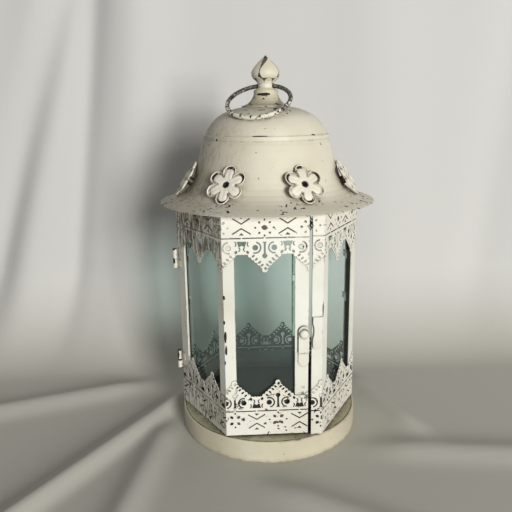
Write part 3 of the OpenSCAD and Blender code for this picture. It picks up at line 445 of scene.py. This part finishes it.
def peak_holes(large_star):
    """The holes of one repeat, with x measured from the peak's middle."""
    eye_x, eye_z = 7.4, 29.5
    holes = []
    for hand in (-1, 1):
        holes.append(round_hole(hand * eye_x, eye_z, 2.3))
        middle = 12 if hand < 0 else 168
        holes.append(curl(hand * eye_x, eye_z, 4.3, 1.15, middle - 92, middle + 100))
        holes.append(long_hole(hand * 13.4, 33.0, 3.2, 2.1, hand * -62))
        middle = 180 if hand < 0 else 0
        holes.append(curl(hand * 15.1, 30.7, 1.5, 0.9, middle - 80, middle + 80))
        holes.append(curl(hand * 11.5, 26.5, 2.1, 0.95, middle - 60, middle + 50))
        for share in (0.18, 0.36, 0.54, 0.7):
            along = hand * PEAK_FOOT * (1 - share)
            slope = math.degrees(math.atan2(PEAK_TOP - VALLEY_TOP, PEAK_FOOT))
            inward = math.radians(slope)
            holes.append(long_hole(
                along - hand * 2.4 * math.sin(inward),
                VALLEY_TOP + share * (PEAK_TOP - VALLEY_TOP) - 2.4 * math.cos(inward),
                3.1, 1.5, hand * (90 - slope)))
        # Groove over the plain band
        holes.append(long_hole(hand * 9.1, 21.9, 17.2, 0.95, 0))
    # Keyhole on the middle line
    stem, foot = 0.75, 24.9
    holes.append(arc(0, 36.0, 2.0, -68, 248, 14) + [
        (-stem, foot + 1.3), (-2.4 * stem, foot), (2.4 * stem, foot), (stem, foot + 1.3)])
    # Hole in the peak's tip
    holes.append(long_hole(0.5, PEAK_TOP - 3.2, 3.2, 2.0, 70))
    # Opening in the valley beside the peak, with a round dent in its head
    valley = PEAK_PITCH / 2
    holes.append([(valley - 3.8, 24.5), (valley + 3.8, 24.5), (valley + 2.5, 28.6)]
                 + arc(valley, 28.8, 1.1, -10, -170, 7) + [(valley - 2.5, 28.6)])
    # Cross below the valley, in four marks
    holes.append(chevron(valley, 13.6, 7.2, 4.4, 1.25))
    holes.append([(x, 2 * 11.9 - z) for x, z in chevron(valley, 12.6, 6.8, 4.4, 1.25)])
    holes.append([(valley - 2.0, 19.6), (valley + 2.0, 19.6), (valley, 17.6)])
    holes.append([(valley - 2.1, 4.7), (valley + 2.1, 4.7), (valley, 6.8)])
    # Star below the peak
    if large_star:
        holes.append(long_hole(0, 13.7, 5.6, 3.8, 12))
        petal_reach, size = 5.8, 2.4
    else:
        petal_reach, size = 4.1, 3.7
    for i in range(4):
        turn = 45 + 90 * i
        x = petal_reach * math.cos(math.radians(turn))
        z = petal_reach * math.sin(math.radians(turn))
        holes.append(long_hole(x, 13.7 + z, size, 0.66 * size, turn))
        x = 7.2 * math.cos(math.radians(turn + 45))
        z = 6.3 * math.sin(math.radians(turn + 45))
        holes.append(long_hole(x, 13.7 + z, 2.1, 1.5, turn + 45))
    return holes


def peak_edge():
    """The scalloped edge of one repeat, from the valley on its left to the next."""
    valley = PEAK_PITCH / 2
    left = []
    for i in range(9):
        share = i / 9
        x = -valley + share * (valley - PEAK_FOOT)
        left.append((x, VALLEY_TOP - 0.6 + 0.6 * abs(math.sin(2 * math.pi * share))))
    scallops, steps = 5, 6
    slope_top = PEAK_TOP - 1.6 * TIP_R
    length = math.hypot(PEAK_FOOT - 1.4, slope_top - VALLEY_TOP)
    out_x, out_z = -(slope_top - VALLEY_TOP) / length, (PEAK_FOOT - 1.4) / length
    for i in range(scallops * steps):
        share = i / (scallops * steps)
        bump = 0.95 * abs(math.sin(math.pi * scallops * share))
        left.append((-PEAK_FOOT + share * (PEAK_FOOT - 1.4) + bump * out_x,
                     VALLEY_TOP + share * (slope_top - VALLEY_TOP) + bump * out_z))
    tip = arc(0, PEAK_TOP - TIP_R, TIP_R, 200, -20, 12)
    right = [(-x, z) for x, z in reversed(left)]
    return left + tip + right


def pierced_face(face, start, end, level, phase, upper, mitres):
    """One face's stretch of a strip, from start to end along the face, its plain edge at level."""
    first = math.floor((start - phase) / PEAK_PITCH) - 1
    last = math.ceil((end - phase) / PEAK_PITCH) + 1
    middles = [phase + i * PEAK_PITCH for i in range(first, last + 1)]
    foot = UPPER_TRIM if upper else 0
    edge = [(m + x, z) for m in middles for x, z in peak_edge()]
    outlines = [[(edge[0][0], foot)] + edge + [(edge[-1][0], foot)]]
    outlines += [[(m + x, z) for x, z in hole] for m in middles for hole in peak_holes(upper)]
    flat = bpy.data.curves.new("pierced_face", "CURVE")
    flat.dimensions = "2D"
    flat.fill_mode = "BOTH"
    flat.extrude = (STRIP_THICK / 2 - 0.08) * mm
    flat.bevel_depth = 0.08 * mm
    flat.offset = -0.08 * mm
    flat.bevel_resolution = 0
    for outline in outlines:
        spline = flat.splines.new("POLY")
        spline.points.add(len(outline) - 1)
        for point, (x, z) in zip(spline.points, outline):
            point.co = (x * mm, (foot - z) * mm, 0, 1)
        spline.use_cyclic_u = True
    piece = bpy.data.objects.new("pierced_face", flat)
    bpy.context.collection.objects.link(piece)
    pick_only(piece)
    bpy.ops.object.convert(target="MESH")
    piece = bpy.context.object
    piece.data.transform(Matrix.Translation((0, 0, STRIP_THICK / 2 * mm)))
    if not upper:
        piece.data.transform(Matrix.Scale(-1, 4, (0, 1, 0)))
        piece.data.flip_normals()
    bpy.ops.object.mode_set(mode="EDIT")
    lean = math.radians(30)
    for at, side, mitred in ((start, -1, mitres[0]), (end, 1, mitres[1])):
        normal = (side * math.cos(lean), 0, -math.sin(lean)) if mitred else (side, 0, 0)
        bpy.ops.mesh.select_all(action="SELECT")
        bpy.ops.mesh.remove_doubles(threshold=1e-6)
        bpy.ops.mesh.select_all(action="SELECT")
        bpy.ops.mesh.bisect(plane_co=(at * mm, 0, 0), plane_no=normal, use_fill=True,
                            clear_outer=True, threshold=1e-7)
    bpy.ops.object.mode_set(mode="OBJECT")
    on_face = Matrix.Rotation(math.radians(60 * face), 4, "Z")
    on_face @= Matrix.Translation((-FACE_WIDTH / 2 * mm, -APOTHEM * mm, level * mm))
    on_face @= Matrix.Rotation(math.radians(90), 4, "X")
    piece.data.transform(on_face)
    return piece


def openwork(name, body, nodes, upper, stretches, patina=None):
    """Joins the stretches of one strip, each a face, start, end, level and mitres."""
    phases = UPPER_PHASES if upper else LOWER_PHASES
    faces = [pierced_face(face, start, end, level, phases[face], upper, mitres)
             for face, start, end, level, mitres in stretches]
    pick_only(*faces)
    bpy.ops.object.join()
    strip = bpy.context.object
    strip.name = name
    if patina:
        shade = strip.data.attributes.new("patina", "FLOAT", "POINT")
        for vertex in strip.data.vertices:
            shade.data[vertex.index].value = patina(vertex.co)
    strip.data.materials.append(openwork_paint)
    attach(strip, body)
    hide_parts(*nodes)
    return strip


openwork_paint = aged_paint("white_paint_on_openwork_with_wax_and_shade", coat="EAE8DF", worn="D6D1C3",
                            chips=0.95, wax=1.0, crease=1.4, deep=0.6, edge_wear=0.9,
                            wax_and_shade_levels=[(75, 30, 0.12)],
                            bare_and_shaded_within=[(way, APOTHEM + 0.15) for way in FACE_DIRECTIONS])
# Middle of a peak on each face, from its left corner
LOWER_PHASES = (7.2, 11.5, 15.5, 19.5, 23.5, 21.5)
UPPER_PHASES = (33.3, 30.5, 34.5, 2.5, 24.5, 5.1)
FRAME_FOOT, FRAME_TOP = 18.7, 208.7
DOOR_FOOT, DOOR_TOP = 20.3, 207.9
FIXED_STRIP = 71
DOOR_EDGE = 68.3
DOOR_START = 0.8
LEFT_END = 79.5


def fixed_run(level):
    """The stretches of a strip round the fixed faces."""
    run = [(0, FIXED_STRIP, FACE_WIDTH, level, (False, True))]
    run += [(face, 0, FACE_WIDTH, level, (True, True)) for face in (1, 2, 3)]
    return run + [(4, 0, LEFT_END, level, (True, False))]


def door_run(level):
    """The stretches of a strip on the door's two faces."""
    return [(5, DOOR_START, FACE_WIDTH, level, (False, True)), (0, 0, DOOR_EDGE, level, (True, False))]


def left_face_wax_and_shade(share, tips, ends):
    """Wax and painted shade on the door's left face, away from the lamp, except on the peaks, where it fades out
    between two heights.
    """
    def wax(place):
        kept = min(1.0, max(0.1, (place.z / mm - tips) / (ends - tips)))
        on_left = place.y > -APOTHEM * mm - 0.0001 and place.x < -FACE_WIDTH / 2 * mm + 0.0001
        return share * kept if on_left else 0.0
    return wax


openwork("frame_openwork_lower", "frame", ["frame_lace_lower"], False, fixed_run(FRAME_FOOT))
openwork("frame_openwork_upper", "frame", ["frame_lace_upper"], True, fixed_run(FRAME_TOP))
openwork("door_openwork_lower", "door", ["door_lace_lower"], False, door_run(DOOR_FOOT), left_face_wax_and_shade(0.6, 66, 56))
openwork("door_openwork_upper", "door", ["door_lace_upper"], True, door_run(DOOR_TOP), left_face_wax_and_shade(0.88, 165, 176))

# The door
# Two stiles and a corner post of folded sheet round two panes, with the same clips as the body.
# The paint on the stile beside the hinges stops inside its fold.
finish_nodes(post_paint, "door_corner_post")
# The latch stile: wax and painted shade in its creases, dark behind the lower openwork, and darker lower down and
# behind the upper openwork, painted shade
finish_nodes(aged_paint("brushed_cream_paint_on_latch_stile", wax=1.0, crease=2.5, deep=0.75, edge_wear=0.7,
                        bare_and_shaded_levels=LACED_ENDS, wax_and_shade_levels=[(75, 30, 0.12), (181, 185, 0.5)],
                        marks=[(12.2, -69.5, 118, 1.0, 2, 5)]), "door_latch_stile")
finish_nodes(aged_paint("brushed_cream_paint_on_hinge_stile", bare_and_shaded_levels=LACED_ENDS, edge_wear=0.7,
                        bare_and_shaded_within=[(way, APOTHEM - 1.9) for way in FACE_DIRECTIONS]),
             "door_hinge_stile")
finish_nodes(sheet_paint, "door_glass_clips")

# The hinges
# Two small rolled hinges, painted with the door, on headed steel pins. Their knuckles are chipped
# to the steel where they rub.
hinge_paint = aged_paint(
    "chipped_cream_paint_on_hinges", coat="DEDBCE", worn="C6C1B0", chips=0.9, wax=1.0, crease=3,
    edge_wear=1.0, marks=[(-84.2, -1, 155.8, 1.9, 4, 3.0), (-83.4, -1, 167.2, 1.8, 4, 1.6),
                          (-84.9, -1, 65.5, 2.2, 4, 5.0), (-82.8, -1, 60.5, 2.2, 4, 1.1),
                          (-82.6, -1, 52.0, 2.2, 4, 1.1)])
finish_nodes(hinge_paint, "hinge_leaf_frame_upper", "hinge_leaf_frame_lower", "hinge_leaf_door_upper",
             "hinge_leaf_door_lower")

# The latch
# A raised plate on the door's stile with a turned knob, and a pocket on the body for its tongue,
# all outlined in dark wax and painted shade.
latch_paint = aged_paint("cream_paint_on_latch_with_wax_and_shade", coat="E2E1D7", worn="CFCBBD", wax=1.0, crease=2.5,
                         deep=0.7, edge_wear=0.8, marks=[(29.0, -71, 120.8, 1.1, 2, 1.8)])
finish_nodes(latch_paint, "keeper", "latch_plate", "latch_knob", "latch_tongue")

# The roof
# Skirt, dome and crown are pressed from sheet and painted cream. The skirt grows darker lower down
# and towards the brim's edge, and the top of the dome and the roof's left side, away from the lamp,
# carry painted shade in warm brown. A dark slot is painted on the crown as the shadow under the
# finial's foot.
roof_paint = aged_paint("brushed_cream_paint_on_roof", coat="DEDACB", worn="CCC4AE", chips=0.45, crease=9,
                        wax_and_shade_levels=((222, 216, 0.07), (211.5, 209.4, 0.2), (280, 288, 0.5)),
                        shaded_side=(-10, -55, 0.5),
                        marks=[(-9.6, -51.8, 266.45, 8, 2.5, 0.45), (35.5, -38.8, 266.5, 2.4, 2.4, 0.6),
                               (-42, -33, 263.2, 1.3, 1.3, 1.1)])
finish_nodes(roof_paint, "roof_skirt", "roof_dome")
# The crown is coloured darker than the roof and grows darker towards its foot, painted shade, with a painted shadow
# slot under the finial's foot
crown_paint = aged_paint("cream_paint_on_crown_with_painted_shade", coat="D6CFBA", worn="BDB59C", chips=0.6, crease=6,
                         wax_and_shade_levels=((299, 289, 0.6),), marks=[(-2.2, -9, 298.7, 5.6, 8, 1.3)])
finish_nodes(crown_paint, "crown")

# The flowers
# Seven flowers stamped from thin sheet, each with a raised rim round six full petals, riveted
# round the skirt of the roof. Dark wax fills the groove inside the rim, with painted shade that is
# darkest on the petals where shade falls.
FLOWERS = 7
FLOWER_TURN = 20.9
FLOWER_SEAT_R = 68.79
FLOWER_Z = 229.6
FLOWER_LEAN = 33.88
FLOWER_LIFT = 0.3
PETAL_X = 11.35
PETAL_R = 5.5
HEART_R = 9.0
PETAL_STEPS = 20
# Wax and painted shade in the groove at each petal's tip, petal by petal; above about 2 the groove takes the bare
# dark as painted shade
TIP_WAX_AND_SHADE = (2.5, 2.9, 1.0, 2.7, 0.9, 2.6)


def petal_reach(turn, middle, radius, heart):
    """Distance from the flower's middle to the edge of six round petals, at an angle in degrees."""
    from_petal = math.radians((turn + 30) % 60 - 30)
    aside = middle * math.sin(from_petal)
    if abs(aside) >= radius:
        return heart
    return max(heart, middle * math.cos(from_petal) + math.sqrt(radius * radius - aside * aside))


def flower_height(turn, reach):
    """Height of a flower's sheet at a share of the way from its rivet to its edge, in mm."""
    from_petal = (turn + 30) % 60 - 30
    dish = 0.9 * max(0.0, 1 - reach / 5.5) ** 1.5
    crease = 0.28 * math.exp(-(reach * math.sin(math.radians(from_petal)) / 0.55) ** 2)
    return 2.0 - dish - crease * min(1.0, max(0.0, (reach - 4.5) / 3))


rings = [("hole", 0.0), ("inner", 0.05), ("inner", 0.2), ("inner", 0.35), ("inner", 0.5), ("inner", 0.65),
         ("inner", 0.78), ("inner", 0.88), ("inner", 0.95), ("inner", 1.0), ("groove", 0.0),
         ("groove", 1.0), ("rim", 0.0), ("rim", 0.5), ("rim", 1.0)]
RIVET_HOLE_R = 2.4
flower_points = []
flower_wax_and_shade = []
for kind, share in rings:
    for step in range(6 * PETAL_STEPS):
        turn = 60 * step / PETAL_STEPS
        edge = petal_reach(turn, PETAL_X, PETAL_R, HEART_R)
        inner = petal_reach(turn, PETAL_X - 1.3, PETAL_R - 1.8, HEART_R - 1.4)
        inner = min(inner, edge - 1.7)
        if kind == "hole":
            reach, height = RIVET_HOLE_R, 0.7
        elif kind == "inner":
            reach = RIVET_HOLE_R + 0.25 + share * (inner - RIVET_HOLE_R - 0.25)
            height = flower_height(turn, reach) - 1.0 * max(0.0, share - 0.6) ** 2 / 0.16 * 0.9
        elif kind == "groove":
            reach = inner + 0.2 + share * (edge - 0.95 - inner - 0.2)
            height = 0.7
        else:
            reach = edge - 0.85 + 0.85 * share
            height = 2.0 - 0.35 * (2 * share - 1) ** 2
        angle = math.radians(turn + 90)
        flower_points.append((reach * math.cos(angle) * mm, reach * math.sin(angle) * mm, height * mm))
        at_tip = max(0.0, 1 - abs((turn + 30) % 60 - 30) / 24)
        kept = TIP_WAX_AND_SHADE[int((turn + 30) / 60) % 6] * at_tip ** 0.5
        flower_wax_and_shade.append({"hole": 1.7, "groove": kept}.get(kind, 0.0))
around = 6 * PETAL_STEPS
flower_faces = [(r * around + i, r * around + (i + 1) % around,
                 (r + 1) * around + (i + 1) % around, (r + 1) * around + i)
                for r in range(len(rings) - 1) for i in range(around)]
flower_mesh = bpy.data.meshes.new("stamped_flower")
flower_mesh.from_pydata(flower_points, [], flower_faces)
flower_mesh.attributes.new("patina", "FLOAT", "POINT").data.foreach_set("value", flower_wax_and_shade)
stamped = bpy.data.objects.new("stamped_flower", flower_mesh)
bpy.context.collection.objects.link(stamped)
pick_only(stamped)
bpy.ops.object.mode_set(mode="EDIT")
bpy.ops.mesh.select_all(action="SELECT")
bpy.ops.mesh.flip_normals()
bpy.ops.object.mode_set(mode="OBJECT")
wall = stamped.modifiers.new("wall", "SOLIDIFY")
wall.thickness = 0.6 * mm
wall.offset = -1
bpy.ops.object.modifier_apply(modifier="wall")
bpy.ops.object.shade_smooth_by_angle(angle=math.radians(40))
flower_paint = aged_paint("white_paint_on_flowers_with_wax_and_shade", coat="EFEBDF", worn="DAD3C0",
                          chips=0.5, wax=1.0, crease=1.8, edge_wear=0.9)
stamped.data.materials.append(flower_paint)
for index in range(1, FLOWERS + 1):
    flower = stamped.copy()
    flower.data = stamped.data.copy()
    flower.name = f"stamped_flower_{index}"
    bpy.context.collection.objects.link(flower)
    place = Matrix.Rotation(math.radians(FLOWER_TURN + 360 / FLOWERS * (index - 1)), 4, "Z")
    place @= Matrix.Translation((0, -FLOWER_SEAT_R * mm, FLOWER_Z * mm))
    place @= Matrix.Rotation(math.radians(90 - FLOWER_LEAN), 4, "X")
    place @= Matrix.Translation((0, 0, FLOWER_LIFT * mm))
    flower.data.transform(place)
    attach(flower, "frame")
    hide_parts(f"flower_{index}")
bpy.data.objects.remove(stamped)

# The bud finial
# A cast flower bud on a waisted stem, screwed down through the crown. Four pointed petals close
# over the bud with dark gaps between them, painted shade on the bud under them, and a ring of
# small sepals stands at its foot.
BUD_FOOT = 309.4
SEPAL_FOOT = 307.8
bud_paint = aged_paint("waxed_cream_paint_on_casting", coat="E4DFCE", worn="C9C2AC", chips=0.5, wax=1.0,
                       crease=2.2, edge_wear=0.9)
# The stem turns dark above the bud's foot: painted shade in the gaps between the petals
finish_nodes(aged_paint("cream_paint_on_bud_stem_with_painted_shade", coat="E4DFCE", worn="CFC8B2", chips=0.5, wax=1.0,
                        crease=2.2, edge_wear=0.9, wax_and_shade_levels=[(BUD_FOOT, BUD_FOOT + 0.5, 1.4)]),
             "finial")
bud_profile = sorted({(round(v.co.z / mm, 2), round(math.hypot(v.co.x, v.co.y) / mm, 2))
                      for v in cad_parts["finial"].data.vertices if v.co.z > 0.3062})


def bud_radius(height):
    """Radius of the bud's surface at a height in mm, from the CAD node's own points."""
    below = [point for point in bud_profile if point[0] <= height][-1]
    above = [point for point in bud_profile if point[0] >= height][0]
    if above[0] == below[0]:
        return max(point[1] for point in bud_profile if point[0] == below[0])
    share = (height - below[0]) / (above[0] - below[0])
    return below[1] + share * (above[1] - below[1])


def bud_petal(name, turn, foot, tip, half_width, lift, twist=0.0):
    """A pointed petal that lies on the bud, its sizes in mm and its angles in degrees."""
    rows, columns = 16, 12
    points = []
    for row in range(rows + 1):
        v = row / rows
        height = foot + v * (tip - foot)
        width = math.radians(half_width) * math.sqrt(max(0.0, 1 - v ** 2.6)) * (0.72 + 0.28 * math.sin(math.pi * v))
        for column in range(columns + 1):
            u = 2 * column / columns - 1
            angle = math.radians(turn + twist * v ** 3 - 90) + u * width
            ridge = 0.18 * math.exp(-(u / 0.16) ** 2) * math.sin(math.pi * v)
            reach = bud_radius(height) + lift * (0.75 + 0.25 * u * u) + ridge
            points.append((reach * math.cos(angle) * mm, reach * math.sin(angle) * mm, height * mm))
    step = columns + 1
    faces = [(r * step + c, r * step + c + 1, (r + 1) * step + c + 1, (r + 1) * step + c)
             for r in range(rows) for c in range(columns)]
    mesh = bpy.data.meshes.new(name)
    mesh.from_pydata(points, [], faces)
    petal = bpy.data.objects.new(name, mesh)
    bpy.context.collection.objects.link(petal)
    pick_only(petal)
    bpy.ops.object.mode_set(mode="EDIT")
    bpy.ops.mesh.select_all(action="SELECT")
    bpy.ops.mesh.remove_doubles(threshold=1e-6)
    bpy.ops.object.mode_set(mode="OBJECT")
    wall = petal.modifiers.new("wall", "SOLIDIFY")
    wall.thickness = 0.55 * mm
    wall.offset = -1
    bpy.ops.object.modifier_apply(modifier="wall")
    bpy.ops.object.shade_smooth_by_angle(angle=math.radians(40))
    petal.data.materials.append(bud_paint)
    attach(petal, "frame")


for index in range(4):
    bud_petal(f"bud_petal_{index + 1}", 14 + 90 * index, BUD_FOOT + 2.2, 328.2, 46, 0.75, 25)
for index in range(7):
    bud_petal(f"bud_sepal_{index + 1}", 12 + 360 / 7 * index, SEPAL_FOOT, 311.9, 22, 0.8)

# The ring
# A ring of drawn steel wire through the hole in the waist. Its front keeps worn cream paint, and
# it is nearly black where it rubs in the hole.
BLACKENED = "2E2B28"
RUBBED_STEEL = "8B8780"
ring_finish = new_material("worn_paint_on_steel_wire")
place = add_node(ring_finish, "ShaderNodeTexCoord").outputs["Object"]
from_pivot = add_node(ring_finish, "ShaderNodeVectorMath", {0: place, 1: (1, 1, 0)}, operation="MULTIPLY")
from_pivot = add_node(ring_finish, "ShaderNodeVectorMath", {0: from_pivot.outputs[0]}, operation="LENGTH")
rub = add_node(ring_finish, "ShaderNodeTexNoise", {"Vector": place, "Scale": 420.0, "Detail": 5.0}).outputs[0]
rubbed = add_node(ring_finish, "ShaderNodeMapRange", {"Value": rub, "From Min": 0.5, "From Max": 0.62}).outputs[0]
steel = add_node(ring_finish, "ShaderNodeMixRGB", {
    "Fac": rubbed, "Color1": linear(BLACKENED), "Color2": linear(RUBBED_STEEL)}).outputs[0]
kept = add_node(ring_finish, "ShaderNodeMapRange", {
    "Value": from_pivot.outputs["Value"], "From Min": 26 * mm, "From Max": 46 * mm,
    "To Min": -0.17, "To Max": 0.1}).outputs[0]
patches = add_node(ring_finish, "ShaderNodeTexNoise", {"Vector": place, "Scale": 340.0, "Detail": 6.0}).outputs[0]
kept = add_node(ring_finish, "ShaderNodeMath", {0: kept, 1: patches}, operation="ADD").outputs[0]
kept = add_node(ring_finish, "ShaderNodeMapRange", {"Value": kept, "From Min": 0.53, "From Max": 0.57}).outputs[0]
ring_colour = add_node(ring_finish, "ShaderNodeMixRGB", {
    "Fac": kept, "Color1": steel, "Color2": linear("D9D5C6")}).outputs[0]
raised = add_node(ring_finish, "ShaderNodeBump", {"Strength": 0.6, "Distance": 0.15 * mm, "Height": kept}).outputs[0]
show(ring_finish, add_node(ring_finish, "ShaderNodeBsdfPrincipled", {
    "Base Color": ring_colour, "Metallic": 0.0, "Roughness": 0.55, "Normal": raised}).outputs[0])
finish_nodes(ring_finish, "ring_handle")

# The hinge pins, the flowers' rivets, and the nut and washer inside the dome
# Turned steel, browned with age, never painted.
browned_steel = new_material("browned_steel")
show(browned_steel, add_node(browned_steel, "ShaderNodeBsdfPrincipled", {
    "Base Color": linear("4B4641"), "Metallic": 0.6, "Roughness": 0.5}).outputs[0])
finish_nodes(browned_steel, "hinge_pins", "stem_washer", "stem_nut", "flower_rivets")
